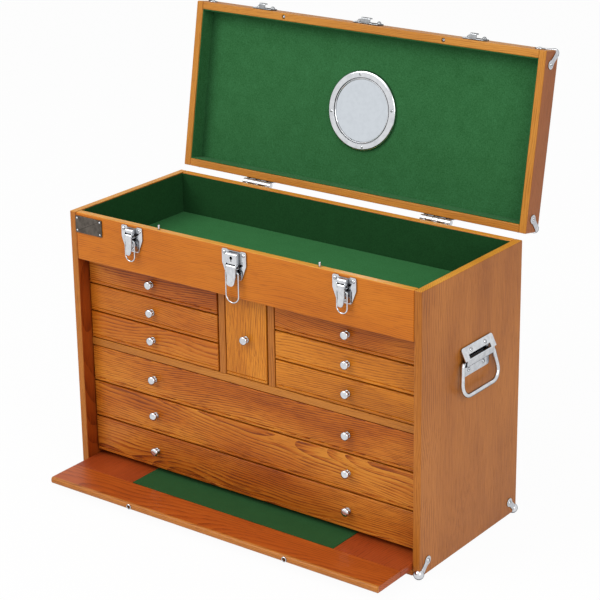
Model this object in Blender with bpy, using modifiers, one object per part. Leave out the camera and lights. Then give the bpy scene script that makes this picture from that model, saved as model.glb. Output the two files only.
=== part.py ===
# Wooden tool chest: drawers, a felt-lined tray under a hinged lid, and a front panel stored under the drawers.
# Metres, +Z up. The origin is on the floor under the middle of the case, and the front faces -Y.
import math
from collections import namedtuple

import bmesh
import bpy
from mathutils import Matrix, Vector

# Case
CASE_W = 0.530
CASE_D = 0.220
CASE_H = 0.357
BOARD_T = 0.010
BASE_T = 0.008
EDGE_R = 0.0012
GLUE_GAP = 0.0003

# Tray under the lid
RAIL_H = 0.0625
TRAY_T = 0.006
FELT_T = 0.001
FELT_DROP = 0.001

# Drawers and the frame that parts them
RECESS = 0.0185
FRONT_T = 0.010
FRONT_R = 0.0016
WIDE_ROWS = 3
SMALL_ROWS = 3
WIDE_PITCH = 0.0498
SHELF_T = 0.0098
DIVIDER_T = 0.0095
CENTRE_W = 0.066
KICKER_H = 0.006
SEAM = 0.0006
SIDE_PLAY = 0.0012
TOP_PLAY = 0.005
BACK_PLAY = 0.004
DRAWER_WALL = 0.005
DRAWER_FLOOR = 0.004
RUNNER_W = 0.006
RUNNER_H = 0.005
RUNNER_GAP = 0.0003

# Knobs
KNOB_D = 0.011
KNOB_OUT = 0.0085
KNOB_NECK_D = 0.005
KNOB_FOOT_D = 0.008
KNOB_FLAT_D = 0.0077
KNOB_ROUND = 0.0009
KNOB_RIM = 0.0022
KNOB_TAPER = 0.0018
KNOB_FOOT_H = 0.0007
KNOB_FILLET = 0.0009
STUD_D = 0.004
STUD_L = 0.0075
STUD_PLAY = 0.0003
KNOB_X = 0.150

# Front panel, which stands under the rail in use and slides in over the base when put away
PANEL_T = 0.009
PANEL_PLAY = 0.0005
PANEL_HEADROOM = 0.0045
PANEL_R = 0.0015
SLOT_H = 0.015
INLAY_W = 0.316
INLAY_FROM_EDGE = 0.0485
INLAY_L = 0.185

# Lock pins, pressed down by the lid into the top edge of the standing panel
PIN_D = 0.003
PIN_X = 0.1215
PIN_OUT = 0.006
PIN_INSIDE = 0.001
PIN_PLAY = 0.0003
SOCKET_D = 0.0048
SOCKET_L = 0.008

# Lid
LID_H = 0.030
LID_GAP = 0.0012
LID_TOP_T = 0.006
LID_OPEN = 100

# Mirror in the lid
MIRROR_D = 0.102
MIRROR_RING = 0.0085
MIRROR_H = 0.0045
MIRROR_LIP = 0.0012
MIRROR_EDGE = 0.0018
MIRROR_SLOPE = 0.003
MIRROR_DISH = 0.0025
GLASS_T = 0.002
GLASS_LAP = 0.003

# Hinges
HINGE_X = 0.139
HINGE_W = 0.044
LEAF_H = 0.026
LEAF_T = 0.0015
BARREL_R = 0.004
HINGE_PIN_R = 0.0014
KNUCKLES = 5
HINGE_PLAY = 0.0003

# Draw latches on the rail: a plate with a hood and ears, a lever on the ears, and a wire bail on the lever
LATCH_X = 0.1605
LATCH_DROP = 0.0015
PLATE_T = 0.0015
LEVER_T = 0.0018
LEVER_BARREL_R = 0.0026
PIVOT_R = 0.0011
PIVOT_OUT = 0.0062
PIVOT_DROP = 0.0035
EAR_T = 0.001
HOOD_OUT = 0.0075
HOOD_BEVEL = 0.0019
BAIL_DROP = 0.0065
BOSS_R = 0.0022
WIRE_R = 0.0009
WIRE_BEND = 0.0018
WIRE_SEAT = 0.0022
LATCH_PLAY = 0.0003
SHOULDER_SHARE = 0.48
FOOT_SHARE = 0.6
SIDE_PLATE_W = 0.0335
SIDE_PLATE_H = 0.033
SIDE_HOOD_H = 0.0075
SIDE_LEVER_W = 0.0095
SIDE_TIP_R = 0.0040
SIDE_LEVER_L = 0.0245
SIDE_BAIL_L = 0.0266
CENTRE_PLATE_W = 0.0365
CENTRE_PLATE_H = 0.0365
CENTRE_HOOD_H = 0.016
CENTRE_LEVER_W = 0.014
CENTRE_TIP_R = 0.0055
CENTRE_LEVER_L = 0.0236
CENTRE_BAIL_L = 0.039
KEYHOLE_D = 0.0034
KEYHOLE_SLOT = 0.0014
KEYHOLE_L = 0.0055
KEYHOLE_DEPTH = 0.003

# Keepers on the lid for the bails
SIDE_KEEPER_W = 0.030
CENTRE_KEEPER_W = 0.038
KEEPER_H = 0.019
KEEPER_R = 0.003
KEEPER_OUT = 0.0082
KEEPER_LIP = 0.0045

# Side handles: a pressed plate with a sloped stop, a channel and a flange, and a bail in the channel
HANDLE_Y = 0.006
HANDLE_Z = 0.2474
HANDLE_W = 0.060
HANDLE_WING = 0.004
HANDLE_SHEET = 0.0012
HANDLE_OUT = 0.007
HANDLE_SLOPE = 0.0143
HANDLE_FACE = 0.0084
HANDLE_RETURN = 0.0012
HANDLE_FOOT = 0.0138
GRIP_R = 0.0027
GRIP_DROP = 0.0042
GRIP_REACH = 0.040
GRIP_SPLAY = 0.006
GRIP_CORNER = 0.014
GRIP_SHOULDER = 0.0045
GRIP_PLAY = 0.0006
GRIP_ANGLE = 8

# Round pieces and welds
ROUND_STEPS = 16
RING_STEPS = 40
SHARP_ANGLE = 40
WELD = 0.00001

# Places worked out from the sizes above
FRONT_Y = -CASE_D / 2
BACK_Y = CASE_D / 2
INNER_X = CASE_W / 2 - BOARD_T
INNER_BACK_Y = BACK_Y - BOARD_T
RAIL_Z = CASE_H - RAIL_H
TRAY_Z = RAIL_Z + GLUE_GAP + TRAY_T
DRAWER_Y = FRONT_Y + RECESS
DRAWER_BACK_Y = INNER_BACK_Y - BACK_PLAY
WIDE_Z = BASE_T + SLOT_H
SHELF_Z = WIDE_Z + WIDE_ROWS * WIDE_PITCH
SMALL_Z = SHELF_Z + SHELF_T
SMALL_PITCH = (RAIL_Z - SMALL_Z) / SMALL_ROWS
CENTRE_H = RAIL_Z - KICKER_H - SMALL_Z
DIVIDER_X = CENTRE_W / 2 + DIVIDER_T
PANEL_L = RAIL_Z - BASE_T - PANEL_HEADROOM
PANEL_Z = BASE_T + GLUE_GAP
PANEL_BACK_Y = INNER_BACK_Y - GLUE_GAP
PANEL_FRONT_Y = PANEL_BACK_Y - PANEL_L
LID_Z = CASE_H + LID_GAP
HINGE_Y = BACK_Y + GLUE_GAP + LEAF_T / 2 + BARREL_R
HINGE_Z = CASE_H + LID_GAP / 2
LATCH_Z = CASE_H - LATCH_DROP


# Scene, collections and materials
def clear_scene():
    for obj in list(bpy.data.objects):
        bpy.data.objects.remove(obj, do_unlink=True)


def collection(name):
    made = bpy.data.collections.new(name)
    bpy.context.scene.collection.children.link(made)
    return made


def material(name, colour, roughness, metallic):
    made = bpy.data.materials.new(name)
    made.use_nodes = True
    shader = made.node_tree.nodes["Principled BSDF"]
    shader.inputs["Base Color"].default_value = (*colour, 1.0)
    shader.inputs["Roughness"].default_value = roughness
    shader.inputs["Metallic"].default_value = metallic
    return made


clear_scene()
parts = collection("tool_chest")
cutters = collection("tool_chest_cutters")
oak = material("honey oak", (0.48, 0.19, 0.035), 0.4, 0.0)
oak_panel = material("red oak panel", (0.40, 0.11, 0.03), 0.4, 0.0)
felt = material("green felt", (0.02, 0.14, 0.045), 0.95, 0.0)
chrome = material("chrome plate", (0.75, 0.76, 0.78), 0.15, 1.0)
silvered = material("silvered glass", (0.80, 0.82, 0.86), 0.03, 1.0)


# Meshes from primitives, outlines, profiles and wires
def to_mesh(bm, name="shape"):
    mesh = bpy.data.meshes.new(name)
    bm.to_mesh(mesh)
    bm.free()
    return mesh


def box(low, high):
    bm = bmesh.new()
    bmesh.ops.create_cube(bm, size=1.0)
    bmesh.ops.scale(bm, vec=Vector(high) - Vector(low), verts=bm.verts)
    bmesh.ops.translate(bm, vec=(Vector(high) + Vector(low)) / 2, verts=bm.verts)
    return to_mesh(bm)


def cylinder(start, end, radius, steps=ROUND_STEPS):
    run = Vector(end) - Vector(start)
    turn = Vector((0, 0, 1)).rotation_difference(run.normalized()).to_matrix().to_4x4()
    bm = bmesh.new()
    bmesh.ops.create_cone(
        bm, cap_ends=True, segments=steps, radius1=radius, radius2=radius, depth=run.length,
        matrix=Matrix.Translation((Vector(start) + Vector(end)) / 2) @ turn)
    mesh = to_mesh(bm)
    mesh.shade_smooth()
    mesh.set_sharp_from_angle(angle=math.radians(SHARP_ANGLE))
    return mesh


def baked(obj):
    bpy.context.view_layer.update()
    ready = obj.evaluated_get(bpy.context.evaluated_depsgraph_get())
    mesh = bpy.data.meshes.new_from_object(ready)
    bpy.data.objects.remove(obj, do_unlink=True)
    bm = bmesh.new()
    bm.from_mesh(mesh)
    bmesh.ops.remove_doubles(bm, verts=bm.verts, dist=WELD)
    bm.to_mesh(mesh)
    bm.free()
    return mesh


def curve_object(points, closed, flat):
    curve = bpy.data.curves.new("line", "CURVE")
    curve.dimensions = "2D" if flat else "3D"
    spline = curve.splines.new("POLY")
    spline.points.add(len(points) - 1)
    for point, place in zip(spline.points, points):
        point.co = (*place, 0.0, 1.0) if flat else (*place, 1.0)
    spline.use_cyclic_u = closed
    obj = bpy.data.objects.new("line", curve)
    cutters.objects.link(obj)
    return obj


def plate(points, thickness, turn):
    obj = curve_object(points, True, True)
    obj.data.fill_mode = "BOTH"
    obj.data.extrude = thickness / 2
    mesh = baked(obj)
    mesh.transform(turn)
    return mesh


def wire(points, radius, closed=False):
    obj = curve_object(points, closed, False)
    obj.data.bevel_depth = radius
    obj.data.bevel_resolution = 2
    obj.data.use_fill_caps = True
    mesh = baked(obj)
    mesh.shade_smooth()
    return mesh


def arc(centre, radius, start, end, steps):
    angles = [math.radians(start + (end - start) * i / steps) for i in range(steps + 1)]
    return [(centre[0] + radius * math.cos(a), centre[1] + radius * math.sin(a)) for a in angles]


def mirrored(points):
    return points + [(-x, y) for x, y in reversed(points)]


# Outlines drawn in X and Z stand upright and face the front, outlines drawn in depth and Z run along X
FACING_FRONT = Matrix.Rotation(math.pi / 2, 4, "X")
ALONG_X = Matrix(((0, 0, -1, 0), (-1, 0, 0, 0), (0, 1, 0, 0), (0, 0, 0, 1)))


# Objects, joins and cuts
def part(name, mesh, coat, parent=None, place=(0, 0, 0)):
    mesh.name = name
    mesh.materials.clear()
    mesh.materials.append(coat)
    obj = bpy.data.objects.new(name, mesh)
    parts.objects.link(obj)
    obj.parent = parent
    obj.location = place
    return obj


def pivot(name, place, parent=None):
    obj = bpy.data.objects.new(name, None)
    parts.objects.link(obj)
    obj.parent = parent
    obj.location = place
    return obj


def combine(obj, mesh, operation):
    tool = bpy.data.objects.new(obj.name + "_" + operation.lower(), mesh)
    cutters.objects.link(tool)
    tool.parent = obj
    tool.hide_render = True
    tool.display_type = "WIRE"
    step = obj.modifiers.new(operation.title(), "BOOLEAN")
    step.operation = operation
    step.object = tool


def join(obj, mesh):
    combine(obj, mesh, "UNION")


def cut(obj, mesh):
    combine(obj, mesh, "DIFFERENCE")


def rounded(obj, radius, segments=2):
    step = obj.modifiers.new("Rounded edges", "BEVEL")
    step.width = radius
    step.segments = segments
    step.limit_method = "ANGLE"
    step.angle_limit = math.radians(SHARP_ANGLE)


def board(name, low, high, coat=oak, radius=EDGE_R, parent=None, place=(0, 0, 0)):
    obj = part(name, box(low, high), coat, parent, place)
    rounded(obj, radius)
    return obj


def turned(name, profile, coat, steps=ROUND_STEPS, parent=None, place=(0, 0, 0)):
    bm = bmesh.new()
    corners = [bm.verts.new((radius, 0, height)) for radius, height in profile]
    for upper, lower in zip(corners, corners[1:]):
        bm.edges.new((upper, lower))
    obj = part(name, to_mesh(bm), coat, parent, place)
    step = obj.modifiers.new("Turned", "SCREW")
    step.steps = steps
    step.render_steps = steps
    step.use_merge_vertices = True
    step.merge_threshold = WELD
    step.use_smooth_shade = True
    return obj


# Case boards, with the runners that carry the drawers fixed to them
def runner(wall_x, inward, level_z):
    reach = sorted((wall_x - inward * GLUE_GAP, wall_x + inward * RUNNER_W))
    low = (reach[0], DRAWER_Y + FRONT_T + GLUE_GAP, level_z + SEAM)
    high = (reach[1], INNER_BACK_Y - GLUE_GAP, level_z + SEAM + RUNNER_H)
    return box(low, high)


def small_levels():
    return [SMALL_Z + row * SMALL_PITCH for row in range(SMALL_ROWS)]


def wide_levels():
    return [WIDE_Z + row * WIDE_PITCH for row in range(WIDE_ROWS)]


def make_case():
    for name, side in (("left_side", -1), ("right_side", 1)):
        reach = sorted((side * INNER_X, side * CASE_W / 2))
        wall = board(name, (reach[0], FRONT_Y, 0), (reach[1], BACK_Y, CASE_H))
        for level in wide_levels() + small_levels():
            join(wall, runner(side * INNER_X, -side, level))
    span = INNER_X - GLUE_GAP
    board("back_panel", (-span, INNER_BACK_Y, 0), (span, BACK_Y, CASE_H))
    board("base_panel", (-span, FRONT_Y, 0), (span, INNER_BACK_Y - GLUE_GAP, BASE_T))
    rail = board("front_rail", (-span, FRONT_Y, RAIL_Z), (span, FRONT_Y + BOARD_T, CASE_H))
    for x in (-PIN_X, PIN_X):
        y = FRONT_Y + BOARD_T / 2
        bore = cylinder((x, y, RAIL_Z - BOARD_T), (x, y, CASE_H + BOARD_T), PIN_D / 2 + PIN_PLAY)
        cut(rail, bore)


def make_tray():
    low = Vector((-INNER_X, FRONT_Y + BOARD_T, RAIL_Z)) + Vector((GLUE_GAP,) * 3)
    high = Vector((INNER_X, INNER_BACK_Y, TRAY_Z)) - Vector((GLUE_GAP, GLUE_GAP, 0))
    board("tray_floor", low, high, radius=EDGE_R / 2)
    low.z = TRAY_Z + GLUE_GAP
    high.z = CASE_H - FELT_DROP
    lining = part("tray_lining", box(low, high), felt)
    wall = Vector((FELT_T,) * 3)
    cut(lining, box(low + wall, high - wall + Vector((0, 0, 2 * FELT_T))))


def make_drawer_frame():
    low_y = DRAWER_Y
    high_y = INNER_BACK_Y - GLUE_GAP
    span = INNER_X - GLUE_GAP
    frame = part("drawer_frame", box((-span, low_y, SHELF_Z), (span, high_y, SMALL_Z)), oak)
    rounded(frame, EDGE_R / 2, 1)
    for side in (-1, 1):
        reach = sorted((side * CENTRE_W / 2, side * DIVIDER_X))
        join(frame, box((reach[0], low_y, SHELF_Z + SHELF_T / 2), (reach[1], high_y, RAIL_Z)))
    middle = DIVIDER_T / 2 + CENTRE_W / 2
    join(frame, box((-middle, low_y, RAIL_Z - KICKER_H), (middle, high_y, RAIL_Z)))
    for side in (-1, 1):
        join(frame, runner(side * CENTRE_W / 2, -side, SMALL_Z))
        for level in small_levels():
            join(frame, runner(side * DIVIDER_X, side, level))


# Drawers
def make_knob(name, drawer, x, z):
    rim_z = KNOB_OUT - KNOB_RIM
    foot_z = GLUE_GAP + KNOB_FOOT_H
    profile = [
        (0.0, KNOB_OUT), (KNOB_FLAT_D / 2, KNOB_OUT), (KNOB_D / 2, KNOB_OUT - KNOB_ROUND), (KNOB_D / 2, rim_z),
        (KNOB_NECK_D / 2, rim_z - KNOB_TAPER), (KNOB_NECK_D / 2, foot_z + KNOB_FILLET),
        (KNOB_FOOT_D / 2, foot_z), (KNOB_FOOT_D / 2, GLUE_GAP), (STUD_D / 2, GLUE_GAP), (STUD_D / 2, -STUD_L),
        (0.0, -STUD_L)]
    knob = turned(name, profile, chrome, parent=drawer, place=(x, 0, z))
    knob.rotation_euler = (math.pi / 2, 0, 0)


def make_drawer(name, low_x, high_x, level_z, pitch, knob_xs):
    base = Vector(((low_x + high_x) / 2, DRAWER_Y, level_z))
    half = (high_x - low_x) / 2
    deep = DRAWER_BACK_Y - DRAWER_Y
    front = board(
        name, (SEAM - half, 0, SEAM), (half - SEAM, FRONT_T, pitch - SEAM), radius=FRONT_R, place=base)
    floor_z = SEAM + RUNNER_H + RUNNER_GAP
    low = Vector((SIDE_PLAY - half, FRONT_T / 2, floor_z))
    high = Vector((half - SIDE_PLAY, deep, pitch - TOP_PLAY))
    join(front, box(low, high))
    hollow_low = Vector((low.x + DRAWER_WALL, FRONT_T, low.z + DRAWER_FLOOR))
    hollow_high = Vector((high.x - DRAWER_WALL, high.y - DRAWER_WALL, pitch))
    cut(front, box(hollow_low, hollow_high))
    for index, x in enumerate(knob_xs):
        place = x - base.x
        hole = cylinder(
            (place, -FRONT_T, pitch / 2), (place, STUD_L + STUD_PLAY, pitch / 2), STUD_D / 2 + STUD_PLAY)
        cut(front, hole)
        suffix = "" if len(knob_xs) == 1 else ("_left", "_right")[index]
        make_knob("knob_" + name.replace("drawer_", "") + suffix, front, place, pitch / 2)


def make_drawers():
    rows = ("bottom", "middle", "top")
    for row, level in zip(rows, wide_levels()):
        make_drawer("drawer_wide_" + row, -INNER_X, INNER_X, level, WIDE_PITCH, (-KNOB_X, KNOB_X))
    for row, level in zip(rows, small_levels()):
        make_drawer("drawer_left_" + row, -INNER_X, -DIVIDER_X, level, SMALL_PITCH, (-KNOB_X,))
        make_drawer("drawer_right_" + row, DIVIDER_X, INNER_X, level, SMALL_PITCH, (KNOB_X,))
    make_drawer("drawer_centre", -CENTRE_W / 2, CENTRE_W / 2, SMALL_Z, CENTRE_H, (0.0,))


# Front panel and lock pins
def make_front_panel():
    half = INNER_X - PANEL_PLAY
    place = Vector((0, PANEL_FRONT_Y, PANEL_Z))
    panel = board("front_panel", (-half, 0, 0), (half, PANEL_L, PANEL_T), oak_panel, PANEL_R, place=place)
    low = Vector((-INLAY_W / 2, INLAY_FROM_EDGE, PANEL_T - FELT_T))
    high = low + Vector((INLAY_W, INLAY_L, 2 * FELT_T))
    cut(panel, box(low, high))
    for x in (-PIN_X, PIN_X):
        middle = PANEL_T / 2
        cut(panel, cylinder((x, -SOCKET_L, middle), (x, SOCKET_L, middle), SOCKET_D / 2))
    inset = Vector((GLUE_GAP,) * 3)
    sheet_high = high - Vector((GLUE_GAP, GLUE_GAP, FELT_T - GLUE_GAP))
    part("front_panel_felt", box(low + inset, sheet_high), felt, panel)


def make_lock_pins():
    length = RAIL_H + PIN_OUT - PIN_INSIDE
    tip = PIN_D / 4
    profile = [
        (0.0, length), (PIN_D / 2 - tip, length), (PIN_D / 2, length - tip),
        (PIN_D / 2, tip), (PIN_D / 2 - tip, 0.0), (0.0, 0.0)]
    for name, x in (("lock_pin_left", -PIN_X), ("lock_pin_right", PIN_X)):
        turned(name, profile, chrome, place=(x, FRONT_Y + BOARD_T / 2, RAIL_Z + PIN_INSIDE))


# Lid, drawn closed and turned open about its hinges
def make_lid_pivot():
    lid = pivot("lid_pivot", (0, HINGE_Y, HINGE_Z))
    lid.rotation_euler = (-math.radians(LID_OPEN), 0, 0)
    return lid


def make_lid(lid):
    home = -lid.location
    half = CASE_W / 2
    top_z = LID_Z + LID_H
    frame = board("lid_frame", (-half, FRONT_Y, LID_Z), (half, BACK_Y, top_z), parent=lid, place=home)
    inner_low = Vector((-INNER_X, FRONT_Y + BOARD_T, LID_Z - LID_H))
    inner_high = Vector((INNER_X, INNER_BACK_Y, top_z + LID_H))
    cut(frame, box(inner_low, inner_high))
    inset = Vector((GLUE_GAP, GLUE_GAP, 0))
    low = inner_low + inset
    high = inner_high - inset
    low.z = top_z - LID_TOP_T
    high.z = top_z
    board("lid_top", low, high, radius=EDGE_R / 2, parent=lid, place=home)
    low.z = LID_Z + FELT_DROP
    high.z = top_z - LID_TOP_T - GLUE_GAP
    lining = part("lid_lining", box(low, high), felt, lid, home)
    wall = Vector((FELT_T,) * 3)
    cut(lining, box(low + wall - Vector((0, 0, 2 * FELT_T)), high - wall))


def make_mirror(lid):
    seat_z = LID_Z + LID_H - LID_TOP_T - GLUE_GAP - FELT_T - GLUE_GAP
    place = Vector((0, 0, seat_z)) - lid.location
    outer = MIRROR_D / 2
    inner = outer - MIRROR_RING
    pocket = inner + GLASS_LAP
    face = -MIRROR_H
    lip = face + MIRROR_LIP
    edge = (inner, face + MIRROR_LIP / 2)
    profile = [
        edge, (inner, lip), (pocket, lip), (pocket, 0.0), (outer, 0.0), (outer, -MIRROR_EDGE),
        (outer - MIRROR_SLOPE, face), (inner + MIRROR_DISH, face), edge]
    turned("mirror_bezel", profile, chrome, RING_STEPS, lid, place)
    radius = pocket - GLUE_GAP
    glass_face = lip + GLUE_GAP
    disc = cylinder((0, 0, glass_face), (0, 0, glass_face + GLASS_T), radius, RING_STEPS)
    part("mirror_glass", disc, silvered, lid, place)


# Butt hinges on the back: each leaf carries its own knuckles, and the pin stays with the case leaf
def knuckle(index, radius, play):
    pitch = HINGE_W / KNUCKLES
    start = -HINGE_W / 2 + index * pitch - play
    return cylinder((start, 0, 0), (start + pitch + 2 * play, 0, 0), radius)


def make_hinge(side, x, lid):
    flat = BACK_Y + GLUE_GAP - HINGE_Y
    half = HINGE_W / 2
    low = Vector((-half, flat, -LEAF_H))
    high = Vector((half, flat + LEAF_T, -HINGE_PLAY))
    leaf = part("hinge_case_leaf_" + side, box(low, high), chrome, None, (x, HINGE_Y, HINGE_Z))
    low.z = HINGE_PLAY
    high.z = LEAF_H
    flap = part("hinge_lid_leaf_" + side, box(low, high), chrome, lid, (x, 0, 0))
    for index in range(KNUCKLES):
        own, other = (leaf, flap) if index % 2 == 0 else (flap, leaf)
        cut(other, knuckle(index, BARREL_R + HINGE_PLAY, HINGE_PLAY / 2))
        join(own, knuckle(index, BARREL_R, -HINGE_PLAY / 2))
    join(leaf, cylinder((-half + HINGE_PLAY, 0, 0), (half - HINGE_PLAY, 0, 0), HINGE_PIN_R))
    cut(flap, cylinder((-half, 0, 0), (half, 0, 0), HINGE_PIN_R + HINGE_PLAY))


# Draw latches
Latch = namedtuple("Latch", "plate_w plate_h hood_h keyhole lever_w tip_r lever_l bail_l keeper_w")


def ear_reach(latch):
    return latch.lever_w / 2 + LATCH_PLAY + EAR_T


def leg_reach(latch):
    return ear_reach(latch) + LATCH_PLAY + WIRE_R


def latch_plate_outline(width, height):
    half = width / 2
    foot = half * FOOT_SHARE
    lobe = width / 8
    right = [(0, -lobe / 2), (half - 2 * lobe, -lobe / 2), (half - 1.6 * lobe, 0)]
    right += arc((half - lobe / 2, -lobe / 2), lobe / 2, 90, 0, 3)
    right.append((half, -height * SHOULDER_SHARE))
    right += arc((foot - lobe / 2, -height + lobe / 2), lobe / 2, 0, -90, 3)
    left = [(-x, z) for x, z in reversed(right[1:])]
    return right + left


def make_latch_plate(name, x, latch):
    outline = plate(latch_plate_outline(latch.plate_w, latch.plate_h), PLATE_T, FACING_FRONT)
    outline.transform(Matrix.Translation((0, -GLUE_GAP - PLATE_T / 2, 0)))
    base = part(name, outline, chrome, None, (x, FRONT_Y, LATCH_Z))
    root = -GLUE_GAP - PLATE_T / 2
    top = -latch.plate_w / 16 - LATCH_PLAY
    brow = -latch.hood_h
    pivot_z = brow - PIVOT_DROP
    ear_x = ear_reach(latch)
    hood = [
        (-root, top), (HOOD_OUT - HOOD_BEVEL, top), (HOOD_OUT, top - HOOD_BEVEL), (HOOD_OUT, brow),
        (-root, brow)]
    join(base, plate(hood, 2 * ear_x, ALONG_X))
    for side in (-1, 1):
        ear = plate(
            [(-root, brow + EAR_T), (PIVOT_OUT, brow + EAR_T)]
            + arc((PIVOT_OUT, pivot_z), LEVER_BARREL_R, 60, -90, 5) + [(-root, pivot_z - LEVER_BARREL_R)],
            EAR_T, ALONG_X)
        ear.transform(Matrix.Translation((side * (ear_x - EAR_T / 2), 0, 0)))
        join(base, ear)
    ends = ear_x - EAR_T / 2
    join(base, cylinder((-ends, -PIVOT_OUT, pivot_z), (ends, -PIVOT_OUT, pivot_z), PIVOT_R))
    if latch.keyhole:
        z = (top + brow) / 2
        deep = KEYHOLE_DEPTH - HOOD_OUT
        cut(base, cylinder((0, -2 * HOOD_OUT, z), (0, deep, z), KEYHOLE_D / 2))
        low = (-KEYHOLE_SLOT / 2, -2 * HOOD_OUT, z - KEYHOLE_L)
        cut(base, box(low, (KEYHOLE_SLOT / 2, deep, z)))
    return pivot_z


def make_latch_lever(name, x, pivot_z, latch):
    width = latch.lever_w
    half = width / 2
    tip = arc((0, latch.tip_r - latch.lever_l), latch.tip_r, 0, -180, 10)
    outline = [(half, 0), (half, -BAIL_DROP)] + tip + [(-half, -BAIL_DROP), (-half, 0)]
    sheet = plate(outline, LEVER_T, FACING_FRONT)
    sheet.transform(Matrix.Translation((0, LEVER_T / 2 - LEVER_BARREL_R, 0)))
    lever = part(name, sheet, chrome, None, (x, FRONT_Y - PIVOT_OUT, LATCH_Z + pivot_z))
    join(lever, cylinder((-half, 0, 0), (half, 0, 0), LEVER_BARREL_R))
    join(lever, cylinder((-half, 0, -BAIL_DROP), (half, 0, -BAIL_DROP), BOSS_R))
    cut(lever, cylinder((-width, 0, 0), (width, 0, 0), PIVOT_R + LATCH_PLAY))
    for side in (-1, 1):
        seat = side * (half - WIRE_SEAT - LATCH_PLAY)
        bore = cylinder((seat, 0, -BAIL_DROP), (side * width, 0, -BAIL_DROP), WIRE_R + LATCH_PLAY)
        cut(lever, bore)
    return lever


def make_latch_bail(name, lever, latch):
    leg_x = leg_reach(latch)
    seat = latch.lever_w / 2 - WIRE_SEAT
    right = [(seat, 0)] + arc((leg_x - WIRE_BEND, -WIRE_BEND), WIRE_BEND, 90, 0, 4)
    right += arc((0, leg_x - latch.bail_l), leg_x, 0, -90, 8)
    outline = right + [(-x, z) for x, z in reversed(right[:-1])]
    part(name, wire([(x, 0, z) for x, z in outline], WIRE_R), chrome, lever, (0, 0, -BAIL_DROP))


def make_keeper(name, x, lid, latch, shelf_z):
    half = latch.keeper_w / 2
    low_z = shelf_z - PLATE_T - KEEPER_R
    outline = mirrored(
        [(half, low_z + KEEPER_R)] + arc((half - KEEPER_R, low_z + KEEPER_H - KEEPER_R), KEEPER_R, 0, 90, 4))
    mesh = plate(outline, PLATE_T, FACING_FRONT)
    mesh.transform(Matrix.Translation((0, -GLUE_GAP - PLATE_T / 2, 0)))
    keeper = part(name, mesh, chrome, lid, Vector((x, FRONT_Y, 0)) - lid.location)
    root = GLUE_GAP + PLATE_T / 2
    hook = [
        (root, shelf_z), (KEEPER_OUT - PLATE_T, shelf_z), (KEEPER_OUT - PLATE_T, shelf_z + KEEPER_LIP),
        (KEEPER_OUT, shelf_z + KEEPER_LIP), (KEEPER_OUT, shelf_z - PLATE_T / 2),
        (KEEPER_OUT - PLATE_T / 2, shelf_z - PLATE_T), (root, shelf_z - PLATE_T)]
    join(keeper, plate(hook, latch.lever_w, ALONG_X))


def make_latches(lid):
    side_latch = Latch(
        SIDE_PLATE_W, SIDE_PLATE_H, SIDE_HOOD_H, False, SIDE_LEVER_W, SIDE_TIP_R, SIDE_LEVER_L, SIDE_BAIL_L,
        SIDE_KEEPER_W)
    centre_latch = Latch(
        CENTRE_PLATE_W, CENTRE_PLATE_H, CENTRE_HOOD_H, True, CENTRE_LEVER_W, CENTRE_TIP_R, CENTRE_LEVER_L,
        CENTRE_BAIL_L, CENTRE_KEEPER_W)
    for side, x, latch in (
            ("left", -LATCH_X, side_latch), ("centre", 0.0, centre_latch), ("right", LATCH_X, side_latch)):
        pivot_z = make_latch_plate("latch_plate_" + side, x, latch)
        lever = make_latch_lever("latch_lever_" + side, x, pivot_z, latch)
        make_latch_bail("latch_bail_" + side, lever, latch)
        reach_z = LATCH_Z + pivot_z - BAIL_DROP + latch.bail_l
        make_keeper("lid_catch_" + side, x, lid, latch, reach_z - WIRE_R - LATCH_PLAY)


# Side handles
def make_handle(side, turn):
    half = HANDLE_W / 2
    wing = half + HANDLE_WING
    foot_z = -HANDLE_FACE - HANDLE_RETURN
    rows = [
        (0, HANDLE_SLOPE, (wing, -wing)), (HANDLE_OUT, 0, (wing, half, -half, -wing)),
        (HANDLE_OUT, -HANDLE_FACE, (half, -half)), (0, foot_z, (half, -half)),
        (0, foot_z - HANDLE_FOOT, (half, -half))]
    bm = bmesh.new()
    top, bend, *lower = [[bm.verts.new((out, y, z)) for y in across] for out, z, across in rows]
    bm.faces.new(top + bend[::-1])
    for above, below in zip([bend[1:3]] + lower, lower):
        bm.faces.new(above + below[::-1])
    place = (turn * (CASE_W / 2 + GLUE_GAP + HANDLE_SHEET), HANDLE_Y, HANDLE_Z)
    angle = 0.0 if turn > 0 else math.pi
    pressed = part("handle_plate_" + side, to_mesh(bm), chrome, None, place)
    pressed.rotation_euler = (0, 0, angle)
    step = pressed.modifiers.new("Sheet", "SOLIDIFY")
    step.thickness = HANDLE_SHEET
    step.offset = -1.0
    step.use_even_offset = True
    rounded(pressed, HANDLE_SHEET / 3, 1)
    reach = half + GRIP_PLAY + GRIP_R
    axle = Vector((HANDLE_OUT - HANDLE_SHEET - GRIP_PLAY - GRIP_R, 0, -GRIP_DROP))
    lean = math.degrees(math.atan2(GRIP_SPLAY, GRIP_REACH - GRIP_CORNER - GRIP_SHOULDER))
    right = arc((reach - GRIP_SHOULDER, -GRIP_SHOULDER), GRIP_SHOULDER, 90, lean, 4)
    right += arc((reach + GRIP_SPLAY - GRIP_CORNER, GRIP_CORNER - GRIP_REACH), GRIP_CORNER, lean, -90, 6)
    loop = wire([(0, y, z) for y, z in mirrored(right)], GRIP_R, True)
    grip = part("handle_bail_" + side, loop, chrome, pressed, axle)
    grip.rotation_euler = (0, -math.radians(GRIP_ANGLE), 0)


def main():
    make_case()
    make_tray()
    make_drawer_frame()
    make_drawers()
    make_front_panel()
    make_lock_pins()
    lid = make_lid_pivot()
    make_lid(lid)
    make_mirror(lid)
    for side, x in (("left", -HINGE_X), ("right", HINGE_X)):
        make_hinge(side, x, lid)
    make_latches(lid)
    make_handle("left", -1)
    make_handle("right", 1)
    bpy.context.view_layer.update()


main()
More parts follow.
